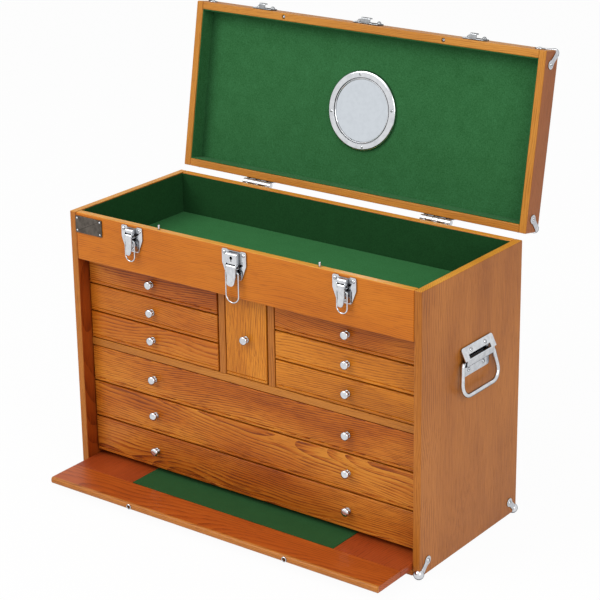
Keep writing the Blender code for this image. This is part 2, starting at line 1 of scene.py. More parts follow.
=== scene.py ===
# Varnished oak tool chest with a lined tray, ten drawers, a loose front panel and pressed chrome fittings.
from math import atan2, copysign, cos, degrees, hypot, pi, radians, sin, tan

import bmesh
import bpy
from mathutils import Matrix, Vector


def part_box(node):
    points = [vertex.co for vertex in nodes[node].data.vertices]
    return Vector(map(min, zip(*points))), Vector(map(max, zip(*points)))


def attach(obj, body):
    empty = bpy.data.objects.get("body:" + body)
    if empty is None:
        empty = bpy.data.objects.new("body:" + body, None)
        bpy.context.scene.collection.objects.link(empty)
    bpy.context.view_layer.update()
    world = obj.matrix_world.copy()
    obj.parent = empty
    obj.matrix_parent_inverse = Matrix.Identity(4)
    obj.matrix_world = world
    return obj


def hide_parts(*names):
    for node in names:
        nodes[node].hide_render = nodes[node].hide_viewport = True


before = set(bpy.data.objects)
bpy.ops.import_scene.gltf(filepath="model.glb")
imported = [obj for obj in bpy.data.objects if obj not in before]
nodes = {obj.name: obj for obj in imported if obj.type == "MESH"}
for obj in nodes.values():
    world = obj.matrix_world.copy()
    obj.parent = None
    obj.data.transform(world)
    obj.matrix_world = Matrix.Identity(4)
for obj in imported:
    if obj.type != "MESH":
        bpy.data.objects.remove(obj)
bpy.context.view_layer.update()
tiny, weld = .00002, .000004
past = .001    # cutters reach this far past what they cut


def linear(code):
    parts = [int(code[i:i + 2], 16) / 255 for i in (1, 3, 5)]
    return (*[p / 12.92 if p <= .04045 else ((p + .055) / 1.055) ** 2.4 for p in parts], 1)


def take(sizes, names):
    return [sizes[name] for name in names.split()]


# Finishes are put together from these few kinds of node
def addNode(tree, kind, links=None, values=None, out=0, stops=(), **settings):
    node = tree.nodes.new("ShaderNode" + kind)
    for name, value in settings.items():
        setattr(node, name, value)
    for name, value in (values or {}).items():
        node.inputs[name].default_value = value
    for name, source in (links or {}).items():
        tree.links.new(source, node.inputs[name])
    for i, (place, colour) in enumerate(stops):
        stop = node.color_ramp.elements[i] if i < 2 else node.color_ramp.elements.new(place)
        stop.position, stop.color = place, colour
    return node.outputs[out]


def addNoise(tree, coords, size, detail, out="Fac", roughness=.5):
    values = {"Scale": 1 / size, "Detail": detail, "Roughness": roughness}
    return addNode(tree, "TexNoise", {"Vector": coords}, values, out)


def stretched(tree, coords, share):
    return addNode(tree, "Mapping", {"Vector": coords}, {"Scale": (share, 1, 1)})


def ranged(tree, value, start, end):
    values = dict(zip(("From Min", "From Max", "To Min", "To Max"), (*start, *end)))
    return addNode(tree, "MapRange", {"Value": value}, values)


def mixed(tree, links, values=None):
    return addNode(tree, "Mix", links, values, 2, data_type="RGBA")


def newFinish(name, **values):
    finish = bpy.data.materials.new(name)
    finish.use_nodes = True
    shader = finish.node_tree.nodes["Principled BSDF"]
    for socket, value in values.items():
        shader.inputs[socket.replace("_", " ")].default_value = value
    return finish, finish.node_tree, shader


def wire(tree, shader, **sources):
    for socket, source in sources.items():
        tree.links.new(source, shader.inputs[socket.replace("_", " ")])


# Selecting, drawing and shaping pieces
def enter(mode):
    bpy.ops.object.mode_set(mode=mode)


def pickNone():
    if bpy.context.object and bpy.context.object.mode != "OBJECT":
        enter("OBJECT")
    bpy.ops.object.select_all(action="DESELECT")


def focus(*pieces):
    pickNone()
    for piece in pieces:
        piece.select_set(True)
    bpy.context.view_layer.objects.active = pieces[0]


def pick(piece, kind, test):
    focus(piece)
    enter("EDIT")
    bpy.ops.mesh.select_mode(type=kind)
    bpy.ops.mesh.select_all(action="DESELECT")
    mesh = bmesh.from_edit_mesh(piece.data)
    mesh.normal_update()
    for item in {"VERT": mesh.verts, "EDGE": mesh.edges, "FACE": mesh.faces}[kind]:
        if kind == "VERT":
            item.select_set(test(item.co))
        elif kind == "EDGE":
            a, b = (v.co for v in item.verts)
            item.select_set(test((a + b) / 2, (b - a).normalized()))
        else:
            item.select_set(test(item.calc_center_median(), item.normal))
    mesh.select_flush_mode()
    bmesh.update_edit_mesh(piece.data)


def pickAll():
    bpy.ops.mesh.select_all(action="SELECT")


def bevelEdges(piece, width, steps, test):
    pick(piece, "EDGE", test)
    bpy.ops.mesh.bevel(offset=width, segments=steps, affect="EDGES")


def pushPoints(piece, y, test):
    pick(piece, "VERT", test)
    bpy.ops.transform.translate(value=(0, y, 0))


def sliceAt(*heights):
    for z in heights:
        pickAll()
        bpy.ops.mesh.bisect(plane_co=(0, 0, z), plane_no=(0, 0, 1))


def discard(*pieces):
    for piece in pieces:
        bpy.data.objects.remove(piece)


def useModifier(piece, kind, **settings):
    focus(piece)
    step = piece.modifiers.new(kind.lower(), kind)
    for name, value in settings.items():
        setattr(step, name, value)
    bpy.ops.object.modifier_apply(modifier=step.name)
    return piece


def softEdges(piece, width, steps=2, angle=32):
    limit = radians(angle)
    return useModifier(piece, "BEVEL", width=width, segments=steps, limit_method="ANGLE", angle_limit=limit)


def carve(piece, *tools):
    for tool in tools:
        useModifier(piece, "BOOLEAN", operation="DIFFERENCE", object=tool, solver="EXACT")
        discard(tool)
    return piece


def started(name):
    # the primitive just added, with its place moved into its mesh
    piece = bpy.context.object
    piece.name = name
    bpy.ops.object.transform_apply(location=True, rotation=True, scale=True)
    return piece


def addBlock(name, low, high, soft=0, steps=2):
    pickNone()
    low, high = Vector(low), Vector(high)
    bpy.ops.mesh.primitive_cube_add(size=1, location=(low + high) / 2, scale=high - low)
    block = started(name)
    return softEdges(block, soft, steps) if soft else block


def addBore(at, radius, deep, turn=0):
    pickNone()
    bpy.ops.mesh.primitive_cylinder_add(
        vertices=24, radius=radius, depth=2 * deep, location=at, rotation=(radians(turn), 0, 0))
    return bpy.context.object


def drawLine(name, path):
    # one point is put down at the start and pulled along the path
    pickNone()
    bpy.ops.mesh.primitive_plane_add(size=.001, location=path[0])
    line = started(name)
    enter("EDIT")
    bpy.ops.mesh.select_mode(type="VERT")
    pickAll()
    bpy.ops.mesh.merge(type="CENTER")
    for start, end in zip(path, path[1:]):
        bpy.ops.mesh.extrude_vertices_move(TRANSFORM_OT_translate={"value": Vector(end) - Vector(start)})
    pickAll()
    bpy.ops.mesh.remove_doubles(threshold=weld)
    return line


def closeUp(piece):
    pickAll()
    bpy.ops.mesh.remove_doubles(threshold=weld)
    bpy.ops.mesh.normals_make_consistent(inside=False)
    enter("OBJECT")
    return piece


def turnOnLathe(name, profile, steps):
    piece = drawLine(name, [(radius, 0, height) for radius, height in profile])
    bpy.ops.mesh.spin(steps=steps, angle=2 * pi, center=(0, 0, 0), axis=(0, 0, 1))
    return closeUp(piece)


def cutPlate(name, outline, thick, soft=0, steps=2):
    piece = drawLine(name, [*outline, outline[0]])
    bpy.ops.mesh.edge_face_add()
    bpy.ops.mesh.extrude_region_move(TRANSFORM_OT_translate={"value": thick})
    closeUp(piece)
    return softEdges(piece, soft, steps) if soft else piece


def bendRod(name, path, radius, sides):
    drawLine(name, path)
    enter("OBJECT")
    bpy.ops.object.convert(target="CURVE")
    rod = bpy.context.object
    rod.data.bevel_depth, rod.data.bevel_resolution, rod.data.use_fill_caps = radius, sides, True
    bpy.ops.object.convert(target="MESH")
    rod = bpy.context.object
    enter("EDIT")
    return closeUp(rod)


def rounded(points, radii, closed=True, steps=5):
    # each corner of a path becomes an arc
    points, path = [Vector(p) for p in points], []
    for i, corner in enumerate(points):
        if not radii[i] or (not closed and i in (0, len(points) - 1)):
            path.append(corner)
            continue
        back = (points[i - 1] - corner).normalized()
        ahead = (points[(i + 1) % len(points)] - corner).normalized()
        half = back.angle(ahead) / 2
        centre = corner + (back + ahead).normalized() * radii[i] / sin(half)
        start = corner + back * radii[i] / tan(half) - centre
        end = corner + ahead * radii[i] / tan(half) - centre
        sweep = start.angle(end)
        for s in range(steps + 1):
            first, second = sin((1 - s / steps) * sweep), sin(s / steps * sweep)
            path.append(centre + (start * first + end * second) / sin(sweep))
    return path


def moved(x=0, y=0, z=0):
    return Matrix.Translation((x, y, z))


def turned(angle, axis):
    return Matrix.Rotation(radians(angle), 4, axis)


def put(piece, place):
    piece.data.transform(place)
    if place.determinant() < 0:
        piece.data.flip_normals()
    return piece


def copyOf(piece, name, place):
    twin = piece.copy()
    twin.data = piece.data.copy()
    twin.name = name
    bpy.context.scene.collection.objects.link(twin)
    return put(twin, place)


def joined(name, *pieces):
    focus(*pieces)
    bpy.ops.object.join()
    bpy.context.object.name = name
    return bpy.context.object


def finishPiece(piece, body, finish, slot, *stands, angle=38):
    piece.data.materials.clear()
    piece.data.materials.append(finish)
    focus(piece)
    bpy.ops.object.shade_smooth_by_angle(angle=radians(angle))
    useModifier(piece, "WEIGHTED_NORMAL", keep_sharp=True)
    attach(piece, body)
    if stands:
        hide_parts(*stands)


# The camera stands where the photographer stood, its lens shifted down a little as the upright edges ask
stand = dict(place=(1.3928, -1.8455, 1.1154), turn=(70.6993, .735, 36.4955), lens=118.7947, shift=-.06)
bpy.ops.object.camera_add(location=stand["place"], rotation=[radians(a) for a in stand["turn"]])
camera = bpy.context.scene.camera = bpy.context.object
camera.data.lens, camera.data.shift_y = stand["lens"], stand["shift"]

# The lid's pieces are drawn closed and then turned open on the hinge pin
hingePin = dict(y=.11505, z=.3576, open=100)
atPin = moved(0, hingePin["y"], hingePin["z"])
lidOpen = atPin @ turned(-hingePin["open"], "X") @ atPin.inverted()

# Flat-sawn oak under a warm varnish: planed boards with growth rings, long pore streaks and a satin gloss
grainTurn = {
    "x": (0, 0, 0), "y": (0, 0, radians(-90)), "z": (0, radians(90), 0),
    "lidSide": (turned(-90, "Z") @ turned(hingePin["open"], "X")).to_euler()}
oak = dict(
    warp=.075, warpStretch=.45, warpBy=.018,    # the grain drifts sideways over 75 mm, as round a hidden knot
    ring=.0021, ringStretch=.1, waver=1.6, waverSize=.03,    # rings 2.1 mm apart, wavering over 30 mm
    streak=.0013, streakStretch=.022,    # early wood breaks up into lines 1.3 mm wide and about 60 mm long
    pore=.0009, poreStretch=.04,    # pores are .3 mm wide on the real wood, drawn at .9 mm so that they show
    cloud=.06, cloudStretch=.3, poreDepth=.0001, shine=.22)


def woodTone(codes, coat=.1, gloss=.22):
    return dict(zip(("light", "mid", "dark", "pore"), codes.split()), coat=coat, gloss=gloss)


honey = woodTone("#D27D1C #C36B0E #964708 #8E420A")
blond = woodTone("#DC8E2A #CA781A #945010 #8E420A")
golden = woodTone("#D0903C #C07C2A #98581A #90521A")
ochre = woodTone("#CC883A #BC7428 #94541A #90521A")
amber = woodTone("#D2862A #B9610C #7A3606 #7C3608")
umber = woodTone("#C87A26 #AC540A #6C2B05 #6E2C07")
russet = woodTone("#C2641F #AE5014 #82350A #80360E", .12, .28)
russetNose = woodTone("#C88238 #B8702A #8E4E1A #80360E", .12, .28)
cherry = woodTone("#AC4E1E #9C4018 #742E0F #7A3212", .12, .28)
# a painted highlight for the top edges of the case boards, lit from above
topEdgeHighlightTone = woodTone("#ECA945 #DE9732 #B87420 #AC6A1E")
hazel = woodTone("#BE7630 #AE671F #8C4C12 #864812")
# the next two tones are for the outer side faces of the case and the lid: the wood darkened and greyed as
# painted shade and a painted reflection of the pale studio
sideFaceWithPaintedLight = woodTone("#BE7632 #AF6827 #874A19 #874A1C", .05, .25)
lidSideWithPaintedLight = woodTone("#A8642F #9A5626 #78401A #74401A", .05, .25)
# a dark red painted shade for the inner faces of the side boards
innerFaceWithPaintedShade = woodTone("#9C4814 #88380C #6A2808 #662608")
plain = woodTone("#D9AE78 #CB9A60 #A97743 #9A6A3A", 0, .4)


def oakFinish(name, tone, grain, place=(0, 0, 0), pith=(.03, .012), tilt=2.0, contrast=1.0, skins=()):
    coat, gloss = take(tone, "coat gloss")
    finish, tree, shader = newFinish(
        name, Coat_Weight=coat, Coat_Roughness=gloss, IOR=1.5, Specular_IOR_Level=oak["shine"])
    coords = addNode(tree, "TexCoord", out="Object")
    board = addNode(tree, "Mapping", {"Vector": coords}, {"Rotation": grainTurn[grain], "Location": place})
    drift = addNoise(tree, stretched(tree, board, oak["warpStretch"]), oak["warp"], 1, "Color")
    sway = (0, oak["warpBy"], oak["warpBy"])
    along = addNode(tree, "VectorMath", {0: drift, 2: board}, {1: sway}, operation="MULTIPLY_ADD")
    # the heart of the tree lies off the board and leans a little, so the rings end in long arches
    lean = (0, radians(tilt), radians(tilt * .7))
    heart = addNode(tree, "Mapping", {"Vector": along}, {"Rotation": lean, "Location": (0, *pith)})
    ringScale = .314 / oak["ring"]
    ringValues = {
        "Scale": ringScale, "Distortion": oak["waver"], "Detail": 2,
        "Detail Scale": 1 / (oak["waverSize"] * ringScale)}
    rings = addNode(
        tree, "TexWave", {"Vector": stretched(tree, heart, oak["ringStretch"])}, ringValues, "Fac",
        wave_type="RINGS", rings_direction="X", wave_profile="SAW")
    streak, pore, cloud = [
        addNoise(tree, stretched(tree, along, oak[kind + "Stretch"]), oak[kind], detail)
        for kind, detail in (("streak", 3), ("pore", 2), ("cloud", 2))]
    # each ring starts with a dark line of early wood that the streaks break up
    early = addNode(tree, "Math", {0: rings}, {1: 2.4}, operation="POWER")
    worn = ranged(tree, streak, (.36, .64), (.12 * contrast, .8 * contrast))
    lift = ranged(tree, cloud, (.3, .7), (.34 - .3 * contrast, .34 + .1 * contrast))
    depth = addNode(tree, "Math", {0: early, 1: worn, 2: lift}, operation="MULTIPLY_ADD")
    pores = ranged(tree, pore, (.56, .7), (0, .5 * contrast))

    def stained(shades):
        stops = [(at, linear(shades[shade])) for at, shade in ((.05, "light"), (.85, "dark"), (.4, "mid"))]
        ramp = addNode(tree, "ValToRGB", {"Fac": depth}, stops=stops)
        return mixed(tree, {0: pores, 6: ramp}, {7: linear(shades["pore"])})

    colour = stained(tone)
    # edges and faces picked out by one coordinate get a second tone: the wood's own on some boards, a painted
    # highlight on top edges and painted shade on inner and side faces
    for axis, low, high, shades in skins:
        apart = addNode(tree, "SeparateXYZ", {0: coords}, out=axis)
        apart = addNode(tree, "Math", {0: apart}, operation="ABSOLUTE")
        share = ranged(tree, apart, (low, high), (0, 1))
        colour = mixed(tree, {0: share, 6: colour, 7: stained(shades)})
    rough = ranged(tree, pores, (0, 1), (.42, .65))
    sunk = {"Strength": .4, "Distance": oak["poreDepth"]}
    dips = addNode(tree, "Bump", {"Height": pores}, sunk, invert=True)
    wire(tree, shader, Base_Color=colour, Roughness=rough, Normal=dips)
    return finish


# Pressed wool felt: matt, with a short nap that catches light at a slant and a soft mottle
felt = dict(nap=.0016, mottle=.02, napDepth=.0003)    # fibres of .03 mm drawn as tufts of 1.6 mm


def feltFinish(name, light, dark):
    finish, tree, shader = newFinish(
        name, Roughness=.95, Specular_IOR_Level=.1, Sheen_Weight=.12, Sheen_Roughness=.5,
        Sheen_Tint=linear("#8FBF93"))
    coords = addNode(tree, "TexCoord", out="Object")
    nap = addNoise(tree, coords, felt["nap"], 4, roughness=.7)
    soft = ranged(tree, addNoise(tree, coords, felt["mottle"], 3), (0, 1), (-.1, .1))
    uneven = addNode(tree, "Math", {0: nap, 1: soft}, operation="ADD")
    colour = addNode(tree, "ValToRGB", {"Fac": uneven}, stops=[(.25, linear(dark)), (.75, linear(light))])
    tufts = addNode(tree, "Bump", {"Height": nap}, {"Strength": .5, "Distance": felt["napDepth"]})
    wire(tree, shader, Base_Color=colour, Normal=tufts)
    return finish


# Plated and polished metals: bright, a little uneven from the press, with faint smudges
metal = dict(smudge=.006, dent=.012, dentDepth=.0002, crevice=.0055)


def metalFinish(name, bright, dull, smooth, rough, dented=1.0, rim="#FFFFFF"):
    finish, tree, shader = newFinish(name, Metallic=1, Specular_Tint=linear(rim))
    coords = addNode(tree, "TexCoord", out="Object")
    smudge = addNoise(tree, coords, metal["smudge"], 4)
    colour = addNode(tree, "ValToRGB", {"Fac": smudge}, stops=[(.35, linear(dull)), (.6, linear(bright))])
    # shade is painted into the corners and crevices: the colour darkens towards near black wherever nearby
    # parts hide a point
    shelter = addNode(tree, "AmbientOcclusion", {}, {"Distance": metal["crevice"]}, "AO", samples=8)
    unshadedShare = ranged(tree, shelter, (.25, .85), (0, 1))
    colourWithPaintedShade = mixed(tree, {0: unshadedShare, 7: colour}, {6: linear("#1E1C1A")})
    gloss = ranged(tree, smudge, (.35, .7), (rough, smooth))
    dent = addNoise(tree, coords, metal["dent"], 1)
    dents = addNode(tree, "Bump", {"Height": dent}, {"Strength": .5 * dented, "Distance": metal["dentDepth"]})
    wire(tree, shader, Base_Color=colourWithPaintedShade, Roughness=gloss, Normal=dents)
    return finish


greenFelt = feltFinish("wool felt", "#3D784A", "#205226")
trayFelt = feltFinish("wool felt of the tray floor", "#3A7B47", "#245E2D")
# the tray's walls take a darker copy of the felt: painted shade inside the tray
wallFeltPaintedShade = feltFinish("wool felt of the tray walls with painted shade", "#215029", "#133A19")
# the panel's inlay takes a darker copy of the felt: painted shade from the drawers above it
inlayFeltPaintedShade = feltFinish("wool felt inlay with painted shade", "#2B5A30", "#1B401C")
# a darker copy of the chrome for the keepers on the lid: painted dark reflection on plates that face up and
# back
keeperChromeDarkened = metalFinish("dull nickel-plated steel", "#AAACAE", "#8E9092", .16, .28, .5, "#50525A")
chrome = metalFinish("chrome-plated steel", "#D8DADD", "#CACCD0", .08, .16, .35, "#50525A")
pewter = metalFinish("etched pewter", "#665F58", "#544E48", .32, .45, .4)
silvered = metalFinish("silvered glass", "#CFD5DB", "#CBD1D7", .02, .05, .02)


def planked(piece, body, node, *wood, slot="oak"):
    finishPiece(piece, body, oakFinish(*wood), slot, node)


def plated(piece, body, *stands, angle=38):
    finishPiece(piece, body, chrome, "chrome", *stands, angle=angle)


print("finishes ready")

# Case boards that stay as the CAD has them, each with its own piece of wood
case = dict(half=.265, inner=.255, rim=.0002)
toneBlend = .0006    # one tone runs into the next over .6 mm
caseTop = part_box("left_side")[1].z
# the top edges of the sides, back and front rail get a lighter tone: a painted highlight from the light above
topEdgeHighlight = ("Z", caseTop - toneBlend, caseTop - case["rim"], topEdgeHighlightTone)
# the side boards' outer faces keep their darker, greyer tone of painted shade and reflection, their edges
# take hazel, and their inner faces a dark red painted shade
sideSkins = (
    ("X", case["half"], case["half"] - toneBlend, hazel),
    ("X", case["inner"] + toneBlend, case["inner"], innerFaceWithPaintedShade), topEdgeHighlight)
caseBoards = {
    "left_side": (sideFaceWithPaintedLight, "z", (.31, .02, .05), (.05, .07), 1.2, 1.05, sideSkins),
    "right_side": (sideFaceWithPaintedLight, "z", (.12, .05, .01), (.085, .15), 1.0, 1.05, sideSkins),
    "back_panel": (honey, "x", (.4, .03, .02), (.03, .05), 2.0, .9, (topEdgeHighlight,)),
    "base_panel": (amber, "x", (.22, .01, .03), (.03, .02), 1.5, .8),
    "front_rail": (honey, "x", (.05, .014, .012), (.135, -.242), 1.6, .68, (topEdgeHighlight,)),
    "tray_floor": (plain, "x", (.6, .01, .03), (.03, .02), 1.5, .8),
    "lid_top": (honey, "x", (.7, .02, .01), (.02, .04), 2.0, .9)}
for node, wood in caseBoards.items():
    finish, slots = oakFinish("oak " + node.replace("_", " "), *wood), nodes[node].material_slots
    if slots:
        slots[0].material = finish
    else:
        nodes[node].data.materials.append(finish)
print("case boards dressed")

# Shelf, dividers and runners that the drawers slide in
inside = dict(
    reach=.2547, front=-.0915, back=.0997, shelf=(.1724, .1822), divider=(.033, .0425), top=.2945, head=.006,
    runner=(.006, .005), seam=.0006, fronts=.0103, rows=(.1822, .219633, .257067), soft=.0009,
    runnerSoft=.0005)
reach, front, back, top = take(inside, "reach front back top")
(near, far), (under, shelfTop), (runnerWide, runnerHigh) = take(inside, "divider shelf runner")
frameBoards = {
    "drawerShelf": (
        (-reach, front, under), (reach, back, shelfTop), "oak shelf", ochre, "x", (.33, .02, .01), (.03, .01),
        1.2),
    "drawerDivider_left": (
        (-far, front, shelfTop), (-near, back, top), "oak divider left", hazel, "z", (.03, .03, .02)),
    "drawerDivider_right": (
        (near, front, shelfTop), (far, back, top), "oak divider right", hazel, "z", (.17, .03, .02)),
    "drawerHead": (
        (-near, front, top - inside["head"]), (near, back, top), "oak drawer head", golden, "x",
        (.5, .03, .04))}
for name, (low, high, *wood) in frameBoards.items():
    planked(addBlock(name, low, high, inside["soft"]), "case", "drawer_frame", *wood)
runners = []
for side in (-1, 1):
    for start, way, levels in ((near, -1, inside["rows"][:1]), (far, 1, inside["rows"])):
        for level in levels:
            left, right = sorted((side * start, side * (start + way * runnerWide)))
            foot = level + inside["seam"]
            low, high = (left, front + inside["fronts"], foot), (right, back, foot + runnerHigh)
            runners.append(addBlock("runner", low, high, inside["runnerSoft"], 1))
runners = joined("drawerRunners", *runners)
planked(runners, "case", "drawer_frame", "oak runners", plain, "y", (.2, .01, .02))
print("drawer frame built")

# Drawers: a moulded front with a bead along its foot, two sides, a back, a bottom and a felt
lining = dict(thick=.001, soft=.0003)
drawer = dict(
    front=.01, wall=.005, floor=.004, lift=.0053, head=.0044, play=.0006, seam=.0005, ends=(.0008, .0022),
    soft=.001, wallSoft=.0006, floorSoft=.0003, bead=.004, groove=.0008, grooveDepth=.0014, felt=.0008,
    feltPlay=.0004)
drawerWood = {
    "wide_bottom": (umber, "x", (.9, .02, .013), (.115, -.075), -2.0, 1.4),
    "wide_middle": (amber, "x", (.35, .05, .02), (.085, -.165), -1.6, 1.4),
    "wide_top": (amber, "x", (.62, .03, .033), (.095, -.245), 2.6, 1.4),
    "left_bottom": (amber, "x", (.15, .04, .051), (.1, -.29), 2.2, .9),
    "left_middle": (amber, "x", (.25, .02, .007), (.1, -.18), -1.4, 1.0),
    "left_top": (umber, "x", (.77, .03, .025), (.1, -.35), 2.4, 1.2),
    "right_bottom": (blond, "x", (.48, .01, .014), (.11, -.28), 1.6, 1.4),
    "right_middle": (blond, "x", (.83, .05, .041), (.07, -.31), 2.0, 1.0),
    "right_top": (amber, "x", (.55, .02, .03), (.1, -.2), -1.6, 1.3),
    "centre": (blond, "z", (.18, .06, .011), (.05, .07), 2.2, 1.5)}
knob = dict(out=.0085, steps=36, profile=[
    (0, .0085), (.003, .00845), (.0042, .0082), (.005, .0077), (.0054, .007), (.0055, .0064), (.0052, .0059),
    (.0043, .0054), (.0032, .0049), (.0026, .0043), (.0025, .0035), (.0026, .0024), (.0031, .0016),
    (.004, .0013), (.0042, .001), (.0042, .0004), (.004, .0002), (.002, .0002), (.002, -.0072),
    (0, -.0072)])
knobBlank = turnOnLathe("knobBlank", knob["profile"], knob["steps"])
play, wall, seam, gap, (leftGap, rightGap) = take(drawer, "play wall seam feltPlay ends")
for name, wood in drawerWood.items():
    body = node = "drawer_" + name
    low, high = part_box(node)
    boxLow = low + Vector((play, drawer["front"], drawer["lift"]))
    boxHigh = high - Vector((play, 0, drawer["head"]))
    low += Vector((leftGap, 0, seam))
    high -= Vector((rightGap, 0, seam))
    face = addBlock("drawerFront_" + name, low, (high.x, boxLow.y, high.z))
    bevelEdges(face, drawer["soft"], 3, lambda mid, way: mid.y < low.y + tiny)
    # a groove runs along the top of the bead
    beadTop, mouth = low.z + drawer["bead"], low.y + drawer["soft"] + tiny
    sliceAt(beadTop - drawer["groove"], beadTop, beadTop + drawer["groove"])
    pushPoints(face, drawer["grooveDepth"], lambda at: abs(at.z - beadTop) < tiny and at.y < mouth)
    planked(face, body, node, "oak drawer front " + name.replace("_", " "), *wood)
    inLow, inHigh = boxLow + Vector((wall, 0, 0)), boxHigh - Vector((wall, wall, 0))
    soft, place = drawer["wallSoft"], wood[2]
    sides = joined(
        "drawerSides_" + name, addBlock("side", boxLow, (inLow.x, boxHigh.y, boxHigh.z), soft),
        addBlock("side", (inHigh.x, boxLow.y, boxLow.z), boxHigh, soft))
    planked(sides, body, node, "oak drawer sides " + name, plain, "y", place)
    floorZ = inLow.z + drawer["floor"]
    rear = joined(
        "drawerBack_" + name,
        addBlock("back", (inLow.x, inHigh.y, inLow.z), (inHigh.x, boxHigh.y, inHigh.z), soft),
        addBlock("bottom", inLow, (inHigh.x, inHigh.y, floorZ), drawer["floorSoft"], 1))
    planked(rear, body, node, "oak drawer back " + name, plain, "x", place)
    feltLow = Vector((inLow.x + gap, inLow.y + gap, floorZ))
    feltHigh = Vector((inHigh.x - gap, inHigh.y - gap, floorZ + drawer["felt"]))
    cloth = addBlock("drawerFelt_" + name, feltLow, feltHigh, lining["soft"], 1)
    finishPiece(cloth, body, greenFelt, "felt")
    for knobNode in [n for n in nodes if n.startswith("knob_" + name)]:
        knobLow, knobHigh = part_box(knobNode)
        middle = (knobLow + knobHigh) / 2
        home = moved(middle.x, knobLow.y + knob["out"], middle.z) @ turned(90, "X")
        plated(copyOf(knobBlank, "pull_" + knobNode.removeprefix("knob_"), home), body, knobNode)
discard(knobBlank)
print("drawers built")

# Front panel: a front strip, a back strip, two cheeks and a field, with a felt laid into it
panelLow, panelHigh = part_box("front_panel")
inlayLow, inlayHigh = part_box("front_panel_felt")
panel = dict(
    strip=.0485, nose=.0034, soft=.0008, inlay=(.316, .185), sink=.001, socketX=.1215, bore=.0024,
    boreDeep=.008, rim=[
        (.0024, .0008), (.0026, .0011), (.0031, .0012), (.0035, .0009), (.0036, .0002), (.0036, -.0004),
        (.0024, -.0004), (.0024, .0008)])
sockets = {"left": -panel["socketX"], "right": panel["socketX"]}
(left, front, foot), (right, back, top) = panelLow, panelHigh
jointY = front + panel["strip"]
fieldX, fieldBack = panel["inlay"][0] / 2, jointY + panel["inlay"][1]
middleZ = (foot + top) / 2
strip = addBlock("panelFrontStrip", panelLow, (right, jointY, top))
bevelEdges(strip, panel["nose"], 4, lambda mid, way: mid.y < front + tiny and abs(way.x) > .9)
softEdges(strip, panel["soft"], 2, 60)
for x in sockets.values():
    carve(strip, addBore((x, front, middleZ), panel["bore"], panel["boreDeep"], 90))
noseEnd = -front - panel["nose"]
skins = [("Y", noseEnd, noseEnd - toneBlend, russet)]
wood = "red oak front strip", russetNose, "x", (.3, .03, .02), (.14, .07), 3.0, .9, skins
planked(strip, "front_panel", "front_panel", *wood, slot="oak_panel")
panelBoards = {
    "panelBackStrip": ((left, fieldBack, foot), panelHigh, "x"),
    "panelLeftCheek": ((left, jointY, foot), (-fieldX, fieldBack, top), "y"),
    "panelRightCheek": ((fieldX, jointY, foot), (right, fieldBack, top), "y"),
    "panelField": ((-fieldX, jointY, foot), (fieldX, fieldBack, top - panel["sink"]), "x")}
for i, (name, (low, high, grain)) in enumerate(panelBoards.items()):
    wood = "red oak " + name, cherry, grain, (.2 * i, .02 * i, .03), (.05, .08), 3.0, .9
    board = addBlock(name, low, high, panel["soft"])
    planked(board, "front_panel", "front_panel", *wood, slot="oak_panel")
inlay = addBlock("panelFelt", inlayLow, inlayHigh, lining["soft"], 1)
finishPiece(inlay, "front_panel", inlayFeltPaintedShade, "felt", "front_panel_felt")
rim = turnOnLathe("socketRim", panel["rim"], 24)
for side, x in sockets.items():
    home = moved(x, front, middleZ) @ turned(90, "X")
    plated(copyOf(rim, "socketRim_" + side, home), "front_panel")
discard(rim)
pin = dict(radius=.0015, tip=.0006, steps=20)
for side in ("left", "right"):
    node = "lock_pin_" + side
    low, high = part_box(node)
    long, r, t = high.z - low.z, pin["radius"], pin["tip"]
    end = [(r, t), (r - t * .3, t * .3), (r - t, 0), (0, 0)]
    profile = [(x, long - z) for x, z in reversed(end)] + end
    middle = (low + high) / 2
    piece = put(turnOnLathe("lockPin_" + side, profile, pin["steps"]), moved(middle.x, middle.y, low.z))
    plated(piece, node, node)
print("front panel built")


# Tray and lid linings: one felt for each face
def feltBox(prefix, body, node, low, high):
    inLid, t, (x0, y0, z0), (x1, y1, z1) = body == "lid", lining["thick"], low, high
    floorLow, floorHigh = (z1 - t, z1) if inLid else (z0, z0 + t)
    wallLow, wallHigh = (z0, z1 - t) if inLid else (z0 + t, z1)
    faces = {
        "floor": ((x0, y0, floorLow), (x1, y1, floorHigh)),
        "front": ((x0, y0, wallLow), (x1, y0 + t, wallHigh)),
        "back": ((x0, y1 - t, wallLow), (x1, y1, wallHigh)),
        "left": ((x0, y0 + t, wallLow), (x0 + t, y1 - t, wallHigh)),
        "right": ((x1 - t, y0 + t, wallLow), (x1, y1 - t, wallHigh))}
    place, board = (lidOpen, "lid_top") if inLid else (Matrix(), "tray_floor")
    for face, (faceLow, faceHigh) in faces.items():
        piece = put(addBlock(prefix + face, faceLow, faceHigh, lining["soft"], 1), place)
        # the walls inside the tray get the darker copy of the felt, as painted shade
        cloth = greenFelt if inLid else trayFelt if face == "floor" else wallFeltPaintedShade
        finishPiece(piece, body, cloth, "felt", node)


feltBox("trayFelt_", "case", "tray_lining", *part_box("tray_lining"))

